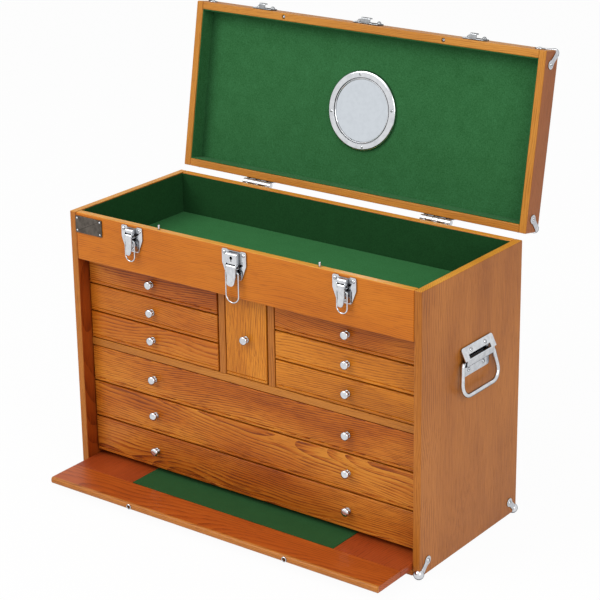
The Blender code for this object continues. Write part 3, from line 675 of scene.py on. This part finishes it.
# Lid: side rims run the full depth, the front and back rims stand between them
lid = dict(
    half=.265, front=-.11, back=.11, low=.3582, high=.3882, wall=.01, top=.006, gap=.0003, drop=.001,
    soft=.0012)
strike = dict(x=.1215, y=-.105, bore=.0028, deep=.0021)
half, front, back, foot, crown, gap, wall = take(lid, "half front back low high gap wall")
innerX, frontIn, backIn = half - wall, front + wall, back - wall
rims = {
    "left": ((-half, front, foot), (-innerX, back, crown), lidSideWithPaintedLight, "lidSide", (.2, .03, .05)),
    "right": ((innerX, front, foot), (half, back, crown), lidSideWithPaintedLight, "lidSide", (.1, .02, .06)),
    "front": ((-innerX, front, foot), (innerX, frontIn, crown), golden, "x", (.3, .02, .04)),
    "back": ((-innerX, backIn, foot), (innerX, back, crown), golden, "x", (.8, .02, .04))}
for name, (low, high, tone, grain, place) in rims.items():
    rim = addBlock("lidRim_" + name, low, high, lid["soft"], 3)
    if name == "front":
        # two sunk screws press the lock pins down when the lid is shut
        for x in (-strike["x"], strike["x"]):
            carve(rim, addBore((x, strike["y"], foot), strike["bore"], strike["deep"]))
    put(rim, lidOpen)
    # the lid's side rims keep the darker, greyer tone on their outer faces as painted shade and painted
    # reflection, and are golden elsewhere
    skins = [("X", half, half - toneBlend, golden)] if tone is lidSideWithPaintedLight else []
    wood = "oak lid rim " + name, tone, grain, place, (.04, .02), 1.2, .8, skins
    planked(rim, "lid", "lid_frame", *wood)
lowFelt = Vector((-innerX + gap, frontIn + gap, foot + lid["drop"]))
highFelt = Vector((innerX - gap, backIn - gap, crown - lid["top"] - gap))
feltBox("lidFelt_", "lid", "lid_lining", lowFelt, highFelt)
print("linings and lid built")

# Slotted screws and rivets, made once and copied
screw = dict(
    radius=.0027, height=.0013, slot=(.0009, .0009), steps=24, start=20, twist=37,
    dome=[(0, 1), (.35, .95), (.65, .74), (.88, .42), (1, .08), (1, -.5), (0, -.5)])
facing = {
    "front": turned(90, "X"), "back": turned(-90, "X"), "right": turned(90, "Y"), "down": turned(180, "X")}


def makeScrew(name, radius, slotted=True, rise=1.0):
    h = rise * screw["height"] * radius / screw["radius"]
    piece = turnOnLathe(name, [(radius * u, h * v) for u, v in screw["dome"]], screw["steps"])
    if slotted:
        wide, deep = screw["slot"]
        carve(piece, addBlock("slot", (-2 * radius, -wide / 2, h - deep), (2 * radius, wide / 2, 2 * h)))
    return piece


def screwsAt(blank, way, *places):
    start, twist = take(screw, "start twist")
    return [
        copyOf(blank, "screw", moved(*at) @ facing[way] @ turned(start + twist * i, "Z"))
        for i, at in enumerate(places)]


screwBlank = makeScrew("screwBlank", screw["radius"])

# Mirror: a turned ring with a groove round the glass, held by four screws
mirror = dict(
    seat=.3806, steps=96, screwRing=.0462, screwSize=.0019, screwSeat=-.0044, screwTurn=8, ring=[
        (.0399, -.0034), (.0399, -.003), (.0455, -.003), (.0455, 0), (.051, 0), (.051, -.0022),
        (.0508, -.003), (.0503, -.0037), (.0495, -.0041), (.0485, -.0043), (.0431, -.0045), (.0425, -.0044),
        (.0422, -.004), (.0421, -.0032), (.0413, -.0032), (.0412, -.0038), (.0409, -.004), (.0403, -.0039),
        (.0399, -.0034)],
    glass=[(0, -.0029), (.0424, -.0029), (.0449, -.0028), (.0452, -.0025), (.0452, -.0011), (0, -.0011)])
seat = lidOpen @ moved(0, 0, mirror["seat"])
ring = turnOnLathe("mirrorRing", mirror["ring"], mirror["steps"])
ringScrew = makeScrew("ringScrew", mirror["screwSize"])
r, turns = mirror["screwRing"], [radians(mirror["screwTurn"] + 90 * i) for i in range(4)]
spots = [(sin(a) * r, cos(a) * r, mirror["screwSeat"]) for a in turns]
ring = put(joined("mirrorRing", ring, *screwsAt(ringScrew, "down", *spots)), seat)
plated(ring, "lid", "mirror_bezel", angle=30)
discard(ringScrew)
glass = put(turnOnLathe("mirrorGlass", mirror["glass"], mirror["steps"]), seat)
finishPiece(glass, "lid", silvered, "mirror", "mirror_glass")
print("mirror built")

# Butt hinges: notched leaves, five knuckles and three screws in each leaf
hinge = dict(
    x=.139, wide=.044, leaf=.026, thick=.0015, off=-.00475, barrel=.004, play=.0003, notch=.0047, knuckles=5,
    soft=.0002, chamfer=.0004, screwX=(-.015, 0, .015), screwZ=(.01, .019, .01))


def hingeLeaf(name, owned, up):
    # the leaf is notched where the other leaf's knuckles turn
    half, pitch = hinge["wide"] / 2, hinge["wide"] / hinge["knuckles"]
    off, play, r, c, thick = take(hinge, "off play barrel chamfer thick")
    top = []
    for i in range(hinge["knuckles"]):
        start = -half + i * pitch
        z = play if i in owned else hinge["notch"]
        spread = -play / 2 if i in owned else play / 2
        top += [(max(start - spread, -half), z), (min(start + pitch + spread, half), z)]
    top += [(half, hinge["leaf"]), (-half, hinge["leaf"])]
    made = [cutPlate(name, [(x, off, up * z) for x, z in top], (0, thick, 0), hinge["soft"], 1)]
    for i in owned:
        a, b = -half + i * pitch + play / 2, -half + (i + 1) * pitch - play / 2
        barrel = turnOnLathe("knuckle", [(0, a), (r - c, a), (r, a + c), (r, b - c), (r - c, b), (0, b)], 28)
        made.append(put(barrel, turned(90, "Y")))
    spots = [(x, off + thick, up * z) for x, z in zip(hinge["screwX"], hinge["screwZ"])]
    return joined(name, *made, *screwsAt(screwBlank, "back", *spots))


for side, x in (("left", -hinge["x"]), ("right", hinge["x"])):
    home = moved(x) @ atPin
    plated(put(hingeLeaf("hingeCaseLeaf_" + side, (0, 2, 4), -1), home), "case", "hinge_case_leaf_" + side)
    plated(put(hingeLeaf("hingeLidLeaf_" + side, (1, 3), 1), lidOpen @ home), "lid", "hinge_lid_leaf_" + side)
print("hinges built")

# Draw latches: a lobed plate with a hood and two ears, a lever on a pivot, a wire bail, a keeper on the lid
latch = dict(
    x=.1605, front=-.11, top=.3555, gap=.0003, plate=.0015, ear=.001, barrel=.0026, pivotOut=.0062,
    pivotDrop=.0035, hoodOut=.0075, bailDrop=.0065, boss=.0022, wire=.0009, legBend=.0018, seat=.0022,
    shoulder=.48, foot=.6, dipEnds=(.0012, .0024), bends=[0, .001, .001, .0024, .006, .003],
    soft=.0004, hoodBends=[0, .0022, .0003, 0], hoodSoft=.0005, hollow=(.0012, .003), keyRise=.001,
    keyhole=(.0021, .0007, .0045, .003), earBends=[0, .0008, .0024, 0], earSoft=.0002,
    window=(.0035, .0009, .0004), screwIn=(.0038, .0042), screwSize=.0025,
    rivet=[(0, 0), (.0016, 0), (.0019, .0002), (.0019, -.0003), (.0011, -.0003)])
latchKinds = {
    "side": dict(
        wide=.0335, tall=.033, hood=.0075, leverW=.0095, lever=.0245, tip=.004, bail=.0266, keeper=.03,
        dip=.0018, key=False),
    "centre": dict(
        wide=.0365, tall=.0365, hood=.016, leverW=.014, lever=.0236, tip=.0055, bail=.039, keeper=.038,
        dip=.0009, key=True)}


def latchPlate(name, kind):
    wide, tall, hoodZ, dip = kind["wide"] / 2, kind["tall"], -kind["hood"], kind["dip"]
    gap, sheet, r, (near, far) = take(latch, "gap plate barrel dipEnds")
    earIn, y = kind["leverW"] / 2 + gap, -gap
    ear = earIn + latch["ear"]
    right = [
        (ear * .9, -dip), (ear + near, -dip), (ear + far, 0), (wide, 0), (wide, -tall * latch["shoulder"]),
        (wide * latch["foot"], -tall)]
    outline = [(x, y, z) for x, z in right] + [(-x, y, z) for x, z in reversed(right)]
    bends = latch["bends"] + latch["bends"][::-1]
    plate = cutPlate(name, rounded(outline, bends), (0, -sheet, 0), latch["soft"])
    root, out = y - sheet / 2, -latch["hoodOut"]
    top = -kind["wide"] / 16 - gap
    pivotZ = hoodZ - latch["pivotDrop"]
    hoodLine = [(-ear, root, top), (-ear, out, top), (-ear, out, hoodZ), (-ear, root, hoodZ)]
    hoodLine = rounded(hoodLine, latch["hoodBends"], steps=6)
    hood = cutPlate("hood", hoodLine, (2 * ear, 0, 0), latch["hoodSoft"], 3)
    # a hollow under the hood leaves the dark gap over the lever
    skin, up = latch["hollow"]
    carve(hood, addBlock("hollow", (-earIn, out + skin, hoodZ - past), (earIn, root - past, hoodZ + up)))
    if kind["key"]:
        hole, slot, long, deep = latch["keyhole"]
        z = (top + hoodZ) / 2 + latch["keyRise"]
        slit = addBlock("slit", (-slot, out - deep, z - long), (slot, out + deep, z))
        carve(hood, addBore((0, out, z), hole, deep, 90), slit)
    made = [plate, hood]
    reach = -latch["pivotOut"] - r
    earTop, earFoot = hoodZ + past, pivotZ - r
    deep, margin, head = latch["window"]
    for side in (-1, 1):
        a, b = side * earIn, side * ear
        earLine = [(a, root, earTop), (a, reach, earTop), (a, reach, earFoot), (a, root, earFoot)]
        earLine = rounded(earLine, latch["earBends"])
        cheek = cutPlate("ear", earLine, (b - a, 0, 0), latch["earSoft"], 1)
        # a window behind the pivot lets the dark inside show
        low, high = sorted((a - side * past, b + side * past))
        window = (low, root - deep, earFoot + margin), (high, root - margin, hoodZ - head)
        made.append(carve(cheek, addBlock("window", *window)))
    rivet = latch["rivet"]
    profile = [(x, -ear - z) for x, z in rivet] + [(x, ear + z) for x, z in reversed(rivet)]
    pivot = turnOnLathe("pivot", profile, 20)
    made.append(put(pivot, moved(0, -latch["pivotOut"], pivotZ) @ turned(90, "Y")))
    face, (inset, drop) = y - sheet, latch["screwIn"]
    spots = [(s * (wide - inset), face, -drop) for s in (-1, 1)] + [(0, face, -tall + inset)]
    return joined(name, *made, *screwsAt(latchScrew, "front", *spots))


lever = dict(
    thick=.0018, bend=.005, cuts=(.42, .5, .58, .66, .74, .82, .9), crease=(.5, .0004), soft=.0004,
    flick=((.66, .0003), (.74, .0004), (.82, .0005), (.9, .0006)), edge=.0003, bores=(.0014, .0012))


def latchLever(name, kind):
    # the tongue is drawn hanging from its pivot, creased across and flicked out at the tip
    w, long, tip = kind["leverW"] / 2, kind["lever"], kind["tip"]
    r, drop, boss = take(latch, "barrel bailDrop boss")
    bend, (crease, depth), c = take(lever, "bend crease edge")
    outline = [(-w, -r, 0), (w, -r, 0), (w, -r, -drop), (tip, -r, -long), (-tip, -r, -long), (-w, -r, -drop)]
    bends = [0, 0, bend, tip * .9, tip * .9, bend]
    tongue = cutPlate(name, rounded(outline, bends), (0, lever["thick"], 0))
    pick(tongue, "VERT", lambda at: True)
    sliceAt(*[-long * share for share in lever["cuts"]])
    pushPoints(tongue, depth, lambda at: abs(at.z + long * crease) < tiny)
    for share, step in lever["flick"]:
        pushPoints(tongue, -step, lambda at: at.z < -long * share + tiny)
    made = [softEdges(tongue, lever["soft"], 2, 50)]
    for size, bore, z in zip((r, boss), lever["bores"], (0, -drop)):
        half = [(bore, w), (size - c, w), (size, w - c)]
        profile = [(x, -z) for x, z in half] + half[::-1] + [(bore, -w)]
        made.append(put(turnOnLathe("tube", profile, 24), moved(0, 0, z) @ turned(90, "Y")))
    return joined(name, *made)


def latchBail(name, kind):
    half, long, bend, rod = kind["leverW"] / 2, kind["bail"], *take(latch, "legBend wire")
    leg, seat = half + 2 * latch["gap"] + latch["ear"] + rod, half - latch["seat"]
    route = [(seat, 0, 0), (leg, 0, 0), (leg, 0, -long), (-leg, 0, -long), (-leg, 0, 0), (-seat, 0, 0)]
    return bendRod(name, rounded(route, [0, bend, leg * .98, leg * .98, bend, 0], False, 9), rod, 3)


keeper = dict(
    tall=.019, out=.0082, lip=.0045, sheet=.0015, corner=.003, foot=.003, footBend=.0008, soft=.0004,
    hookBends=[0, .0006, .0003, .0006, .0016, 0], hookSoft=.0003, screwIn=(.0042, .006), screwSize=.003)


def lidKeeper(name, kind, shelf):
    half, (sheet, corner, bend) = kind["keeper"] / 2, take(keeper, "sheet corner footBend")
    low = shelf - sheet - corner
    foot, high = low + keeper["foot"], low + keeper["tall"]
    y = -latch["gap"]
    outline = [(-half, y, foot), (half, y, foot), (half, y, high), (-half, y, high)]
    plate = cutPlate(name, rounded(outline, [bend, bend, corner, corner]), (0, -sheet, 0), keeper["soft"])
    root, out, x = y - sheet / 2, -keeper["out"], kind["leverW"] / 2
    lip, under = shelf + keeper["lip"], shelf - sheet
    section = [
        (-x, root, shelf), (-x, out + sheet, shelf), (-x, out + sheet, lip), (-x, out, lip), (-x, out, under),
        (-x, root, under)]
    hook = cutPlate("hook", rounded(section, keeper["hookBends"]), (2 * x, 0, 0), keeper["hookSoft"], 2)
    inset, drop = keeper["screwIn"]
    spots = [(s * (half - inset), y - sheet, high - drop) for s in (-1, 1)]
    return joined(name, plate, hook, *screwsAt(keeperScrew, "front", *spots))


latchScrew = makeScrew("latchScrew", latch["screwSize"], rise=1.5)
keeperScrew = makeScrew("keeperScrew", keeper["screwSize"], rise=2.2)
for side, x in (("left", -latch["x"]), ("centre", 0), ("right", latch["x"])):
    kind = latchKinds["side" if x else "centre"]
    leverBody, bailBody = "latch_lever_" + side, "latch_bail_" + side
    front, top = take(latch, "front top")
    pivotY, pivotZ = front - latch["pivotOut"], top - kind["hood"] - latch["pivotDrop"]
    bailZ = pivotZ - latch["bailDrop"]
    plate = put(latchPlate("latchPlate_" + side, kind), moved(x, front, top))
    plated(plate, "case", "latch_plate_" + side)
    plated(put(latchLever("latchLever_" + side, kind), moved(x, pivotY, pivotZ)), leverBody, leverBody)
    plated(put(latchBail("latchBail_" + side, kind), moved(x, pivotY, bailZ)), bailBody, bailBody)
    shelfZ = bailZ + kind["bail"] - latch["wire"] - latch["gap"]
    catch = put(lidKeeper("lidKeeper_" + side, kind, shelfZ), lidOpen @ moved(x, front, 0))
    # the keepers take the darkened copy of the chrome: painted dark reflection
    finishPiece(catch, "lid", keeperChromeDarkened, "chrome", "lid_catch_" + side)

heads = [(x, strike["y"], lid["low"] + strike["deep"]) for x in (-strike["x"], strike["x"])]
plated(put(joined("strikeScrews", *screwsAt(latchScrew, "down", *heads)), lidOpen), "lid")
print("latches built")

# Side handles: a pressed plate with a sloped stop, a channel and a flange, and a bail in the channel
handle = dict(
    x=.2665, y=.006, z=.2474, wide=.068, narrow=.06, sheet=.0012, axle=(.0025, -.0042), grip=.0027,
    reach=.04, side=.0333, splay=.0096, shoulder=.0045, corner=.014, droop=8, bends=[.0019, .0019, .001, 0],
    edge=.0004, section=[(0, .0143), (.007, 0), (.007, -.0084), (0, -.0096), (0, -.0234)], clear=.05,
    slot=(.0235, .001, .0062), slotDeep=.004, topScrews=(.0155, .0056), twists=(70, -30), soft=.0003,
    footScrews=(.0165, -.0164), topRound=.003, footRound=.004,
    backLeaf=((0, -.026, -.0019), (.0008, .026, .0122), .0002, 1))


def sheetSection(path, thick):
    # the plate's outer line and the same line pushed in by its thickness
    inner = []
    for i, at in enumerate(path):
        before = (at - path[i - 1]).normalized() if i else (path[1] - at).normalized()
        after = (path[i + 1] - at).normalized() if i + 1 < len(path) else before
        way = (before + after).normalized()
        inner.append(at + Vector((way.z, 0, -way.x)) * thick / max(way.dot(before), .5))
    return path + inner[::-1]


def makeHandle():
    half, narrow, clear = handle["wide"] / 2, handle["narrow"] / 2, handle["clear"]
    (_, stopTop), (stopOut, _), *_, (_, footZ) = handle["section"]
    line = rounded([(x, -half, z) for x, z in handle["section"]], [0] + handle["bends"], False, 5)
    strap = cutPlate("strap", sheetSection(line, handle["sheet"]), (0, handle["wide"], 0))
    # below the stop the plate is narrower, so that the bail's arms pass
    for side in (-1, 1):
        left, right = sorted((side * narrow, side * clear))
        carve(strap, addBlock("trim", (-clear, left, -clear), (clear, right, -handle["edge"])))
    reach, slotLow, slotHigh = handle["slot"]
    lean = moved(stopOut) @ turned(-degrees(atan2(stopOut, stopTop)), "Y")
    slot = addBlock("slot", (-handle["slotDeep"], -reach, slotLow), (past, reach, slotHigh))
    carve(strap, put(slot, lean))
    ends = ((stopTop - past, clear, handle["topRound"]), (-clear, footZ + past, handle["footRound"]))
    for low, high, size in ends:
        bevelEdges(strap, size, 5, lambda mid, way: abs(way.x) > .8 and low < mid.z < high)
    softEdges(strap, handle["soft"], 2, 50)
    made = [strap, addBlock("backLeaf", *handle["backLeaf"])]
    y, drop = handle["topScrews"]
    rise = hypot(stopOut, stopTop) - drop
    for at, twist in zip((-y, y), handle["twists"]):
        home = lean @ moved(0, at, rise) @ facing["right"] @ turned(twist, "Z")
        made.append(copyOf(screwBlank, "screw", home))
    y, z = handle["footScrews"]
    made += screwsAt(screwBlank, "right", (0, y, z), (0, -y, z))
    side, reach, s, c = take(handle, "side reach shoulder corner")
    foot = side + handle["splay"]
    loop = [(0, side, 0), (0, foot, -reach), (0, -foot, -reach), (0, -side, 0)]
    path = rounded(loop, [s, c, c, s], True, 8)
    bail = bendRod("bail", [*path, path[0]], handle["grip"], 5)
    outX, downZ = handle["axle"]
    put(bail, moved(outX, 0, downZ) @ turned(-handle["droop"], "Y"))
    return joined("strap", *made), bail


strap, bail = makeHandle()
for side, turn in (("left", 180), ("right", 0)):
    home = moved(0, handle["y"], 0) @ turned(turn, "Z") @ moved(handle["x"], 0, handle["z"])
    plated(copyOf(strap, "handlePlate_" + side, home), "case", "handle_plate_" + side)
    plated(copyOf(bail, "handleBail_" + side, home), "handle_bail_" + side, "handle_bail_" + side)
discard(strap, bail)
print("handles built")

# Ball corners: a domed cup over the corner, with an arm and a screw on each face that has room for one
cap = dict(
    sheet=.0012, armStart=.004, lobeAt=.024, lobe=.0057, arm=.0084, waist=.0076, steps=14, sweep=250, cut=.45,
    soft=.0004, twist=30, foot=(.0065, .003), lid=(.0056, .0036))


def cornerCap(name, faces, size):
    # drawn for the corner at the origin, with the chest on the minus side of all three axes
    radius, inset = size
    pickNone()
    bpy.ops.mesh.primitive_uv_sphere_add(segments=28, ring_count=18, radius=radius, location=(-inset,) * 3)
    ball = started("ball")
    # the back of the ball is cut away inside the wood
    enter("EDIT")
    pickAll()
    depth = -inset - radius * cap["cut"]
    bpy.ops.mesh.bisect(plane_co=(depth,) * 3, plane_no=(1, 1, 1), use_fill=True, clear_inner=True)
    made = [closeUp(ball)]
    r, arm, waist, far = cap["lobe"], cap["arm"] / 2, cap["waist"] / 2, cap["lobeAt"]
    reach = [(cap["armStart"], arm), (far * .5, waist), (far - r * .9, waist)]
    turns = [radians(cap["sweep"] * (.5 - i / cap["steps"])) for i in range(cap["steps"] + 1)]
    tip = [(far + r * cos(a), r * sin(a)) for a in turns]
    outline = reach + tip + [(u, -v) for u, v in reversed(reach)]
    flat = cutPlate("arm", [(u, v, 0) for u, v in outline], (0, 0, cap["sheet"]), cap["soft"])
    head = copyOf(screwBlank, "screw", moved(far, 0, cap["sheet"]) @ turned(cap["twist"], "Z"))
    flat = joined("arm", flat, head)
    # the arm runs along the upper face, away from the corner, and turns about the corner onto the other two
    inward, onto = turned(-135, "Z"), {"z": 0, "x": 120, "y": 240}
    made += [copyOf(flat, "arm", turned(onto[face], Vector((1, 1, 1))) @ inward) for face in faces]
    discard(flat)
    return joined(name, *made)


frontCap, backCap = cornerCap("frontCap", "xz", cap["foot"]), cornerCap("backCap", "xyz", cap["foot"])
lidCap = cornerCap("lidCap", "xyz", cap["lid"])
for sideName, side in (("left", -1), ("right", 1)):
    for depthName, y, blank in (("front", lid["front"], frontCap), ("back", lid["back"], backCap)):
        out, corner = copysign(1, y), "Corner_%s_%s" % (depthName, sideName)
        foot = moved(side * lid["half"], y, 0) @ Matrix.Diagonal((side, out, -1, 1))
        plated(copyOf(blank, "foot" + corner, foot), "case")
        crown = lidOpen @ moved(side * lid["half"], y, lid["high"]) @ Matrix.Diagonal((side, out, 1, 1))
        plated(copyOf(lidCap, "lid" + corner, crown), "lid")
discard(frontCap, backCap, lidCap)
print("corner caps built")

# Bare name plate with a raised rim, on four rivets
nameTag = dict(
    low=(-.2548, .331), high=(-.211, .353), y=-.1101, thick=.0014, corner=.0012, soft=.0002, rim=.0013,
    sink=.0003, rivetIn=.003, rivetSize=.0013)
(x0, z0), (x1, z1), y, thick = take(nameTag, "low high y thick")
outline = rounded([(x0, y, z0), (x1, y, z0), (x1, y, z1), (x0, y, z1)], [nameTag["corner"]] * 4)
tag = cutPlate("namePlate", outline, (0, -thick, 0), nameTag["soft"], 1)
pick(tag, "FACE", lambda mid, normal: normal.y < -.9)
bpy.ops.mesh.inset(thickness=nameTag["rim"], depth=-nameTag["sink"])
enter("OBJECT")
finishPiece(tag, "case", pewter, "chrome")
r, rivetBlank = nameTag["rivetIn"], makeScrew("rivetBlank", nameTag["rivetSize"], False)
spots = [(x, y - thick, z) for x in (x0 + r, x1 - r) for z in (z0 + r, z1 - r)]
plated(joined("namePlateRivets", *screwsAt(rivetBlank, "front", *spots)), "case")
discard(screwBlank, rivetBlank, latchScrew, keeperScrew)
print("name plate built")

# Pale floor and soft studio light
studio = dict(
    floor=-.0035, floorSize=14, glow=.96, shade=.42, aim=(0, 0, .25),
    lamps=[((-1.3, -2.0, 2.1), 1.6, 40), ((2.2, -1.0, 1.5), 1.6, 24), ((.1, -.9, 2.6), 1.6, 9)],
    card=((-2.4, 4.4, .55), (3.6, .8)))


def seenDirectly(tree):
    # 1 for rays from the camera, from reflections and through glass
    seen = addNode(tree, "LightPath", out="Is Camera Ray")
    for ray in ("Is Glossy Ray", "Is Transmission Ray"):
        seen = addNode(tree, "Math", {0: seen, 1: addNode(tree, "LightPath", out=ray)}, operation="MAXIMUM")
    return seen


def aimed(place, axis):
    return (Vector(studio["aim"]) - Vector(place)).to_track_quat(axis, "Y").to_euler()


pickNone()
bpy.ops.mesh.primitive_plane_add(size=studio["floorSize"], location=(0, 0, studio["floor"]))
floor = bpy.context.object
floor.name = "floor"
floorFinish, tree, shader = newFinish("matt paper floor", Base_Color=linear("#F4F4F4"), Roughness=.9)
share = addNode(tree, "Math", {0: seenDirectly(tree)}, {1: studio["glow"]}, operation="MULTIPLY")
glow = addNode(tree, "Emission", {}, {"Color": (1, 1, 1, 1), "Strength": 1})
paper = addNode(tree, "MixShader", {0: share, 1: shader.outputs[0], 2: glow})
wire(tree, tree.nodes["Material Output"], Surface=paper)
floor.data.materials.append(floorFinish)
for place, size, power in studio["lamps"]:
    bpy.ops.object.light_add(type="AREA", location=place, rotation=aimed(place, "-Z"))
    lamp = bpy.context.object.data
    lamp.shape, lamp.size, lamp.energy = "SQUARE", size, power
place, size = studio["card"]
pickNone()
bpy.ops.mesh.primitive_plane_add(size=1, location=place, rotation=aimed(place, "Z"))
darkCard = bpy.context.object
darkCard.name, darkCard.dimensions = "darkCard", (*size, 0)
# only the polished metal sees the card
darkCard.visible_camera = darkCard.visible_diffuse = darkCard.visible_shadow = False
darkCard.data.materials.append(newFinish("black card", Base_Color=linear("#141414"), Roughness=.9)[0])
world = bpy.context.scene.world = bpy.data.worlds.new("studio")
world.use_nodes = True
tree = world.node_tree
sky = tree.nodes["Background"]
sky.inputs["Color"].default_value = (1, 1, 1, 1)
wire(tree, sky, Strength=ranged(tree, seenDirectly(tree), (0, 1), (studio["shade"], 1)))
bpy.context.scene.view_settings.view_transform = "Standard"
print("studio ready")
